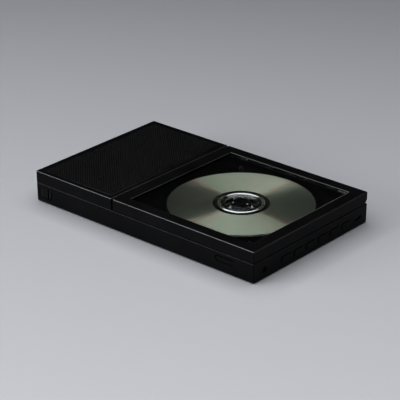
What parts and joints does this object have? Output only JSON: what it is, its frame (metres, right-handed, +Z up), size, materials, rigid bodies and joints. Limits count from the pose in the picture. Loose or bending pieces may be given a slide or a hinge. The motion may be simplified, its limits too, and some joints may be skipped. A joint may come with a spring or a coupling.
{
  "type": "portable disc player",
  "caption": "Flat portable disc player with a perforated speaker panel beside a hinged lid whose clear square window shows the disc.",
  "frame": {"origin": "centre of the resting face under the rubber feet, below the middle of the case and its push buttons", "axes": "+X to the right along the long side, from the speaker panel to the disc; +Y to the back, from the open button to the hinge; +Z up"},
  "size_m": [0.2284, 0.1414, 0.0267],
  "materials": {
    "case_black": "fine matte moulded black",
    "deck_black": "polished black",
    "button_black": "satin black",
    "clear_pane": "clear polished acrylic",
    "disc_silver": "polished, metallised",
    "steel": "plain steel",
    "rubber": "matte",
    "board_green": "solder-masked laminate",
    "cone_paper": "treated black paper",
    "cell_foil": "foil wrapped",
    "mechanism_plastic": "natural",
    "lens_glass": "polished"
  },
  "bodies": {
    "case": {"lower_shell": "case_black", "deck": "deck_black", "speaker_cover": "case_black", "speaker_grille": "case_black", "headphone_jack": "button_black", "usb_port": "steel", "power_switch": "steel", "spindle_motor": "steel", "chassis": "steel", "guide_rod_front": "steel", "guide_rod_back": "steel", "sled_motor": "steel", "latch_spring": "steel", "speaker_basket_front": "steel", "speaker_basket_back": "steel", "speaker_magnet_front": "steel", "speaker_magnet_back": "steel", "speaker_cone_front": "cone_paper", "speaker_cone_back": "cone_paper", "main_board": "board_green", "key_board": "board_green", "battery": "cell_foil", "case_screw_1": "steel", "case_screw_2": "steel", "case_screw_3": "steel", "case_screw_4": "steel", "case_screw_5": "steel", "case_screw_6": "steel", "case_screw_7": "steel", "damper_1": "rubber", "damper_2": "rubber", "damper_3": "rubber", "damper_4": "rubber", "foot_1": "rubber", "foot_2": "rubber", "foot_3": "rubber", "foot_4": "rubber"},
    "lid": {"lid_frame": "case_black", "lid_window": "clear_pane", "hinge_pin_left": "steel", "hinge_pin_right": "steel"},
    "spindle": {"turntable": "deck_black", "disc": "disc_silver", "hub_ball_1": "steel", "hub_ball_2": "steel", "hub_ball_3": "steel"},
    "pickup": {"pickup_sled": "mechanism_plastic", "objective_lens": "lens_glass"},
    "feed_screw": {"lead_screw": "steel"},
    "open_latch": {"open_button": "button_black", "latch_hook": "mechanism_plastic"},
    "power_slide": {"power_knob": "button_black"},
    "key_mode": {"button_mode": "button_black"},
    "key_volume_down": {"button_volume_down": "button_black"},
    "key_volume_up": {"button_volume_up": "button_black"},
    "key_previous": {"button_previous": "button_black"},
    "key_play": {"button_play": "button_black"},
    "key_next": {"button_next": "button_black"}
  },
  "joints": [
    {"name": "lid_hinge", "type": "hinge", "parent": "case", "child": "lid", "pos_m": [0.04225, 0.06795, 0.01985], "axis": [-1, 0, 0], "range_deg": [0, 95]},
    {"name": "disc_spin", "type": "hinge", "parent": "case", "child": "spindle", "pos_m": [0.0432, -0.00005, 0.018], "axis": [0, 0, 1], "continuous": true},
    {"name": "pickup_slide", "type": "slide", "parent": "case", "child": "pickup", "axis": [-1, 0, 0], "range_m": [0, 0.034]},
    {"name": "feed_screw_spin", "type": "hinge", "parent": "case", "child": "feed_screw", "pos_m": [0.0192, -0.03005, 0.0096], "axis": [-1, 0, 0], "range_deg": [0, 4090]},
    {"name": "open_button_slide", "type": "slide", "parent": "case", "child": "open_latch", "axis": [0, 1, 0], "range_m": [0, 0.0015], "stiffness_N_per_m": 400, "springref_m": -0.0008, "deforming": ["latch_spring"]},
    {"name": "power_slide_move", "type": "slide", "parent": "case", "child": "power_slide", "axis": [1, 0, 0], "range_m": [0, 0.0044]},
    {"name": "mode_press", "type": "slide", "parent": "case", "child": "key_mode", "axis": [-1, 0, 0], "range_m": [0, 0.0006], "stiffness_N_per_m": 300, "springref_m": -0.0005},
    {"name": "volume_down_press", "type": "slide", "parent": "case", "child": "key_volume_down", "axis": [-1, 0, 0], "range_m": [0, 0.0006], "stiffness_N_per_m": 300, "springref_m": -0.0005},
    {"name": "volume_up_press", "type": "slide", "parent": "case", "child": "key_volume_up", "axis": [-1, 0, 0], "range_m": [0, 0.0006], "stiffness_N_per_m": 300, "springref_m": -0.0005},
    {"name": "previous_press", "type": "slide", "parent": "case", "child": "key_previous", "axis": [-1, 0, 0], "range_m": [0, 0.0006], "stiffness_N_per_m": 300, "springref_m": -0.0005},
    {"name": "play_press", "type": "slide", "parent": "case", "child": "key_play", "axis": [-1, 0, 0], "range_m": [0, 0.0006], "stiffness_N_per_m": 300, "springref_m": -0.0005},
    {"name": "next_press", "type": "slide", "parent": "case", "child": "key_next", "axis": [-1, 0, 0], "range_m": [0, 0.0006], "stiffness_N_per_m": 300, "springref_m": -0.0005}
  ],
  "couplings": [
    {"joint": "feed_screw_spin", "follows": "pickup_slide", "rad_per_m": 2094.4}
  ]
}
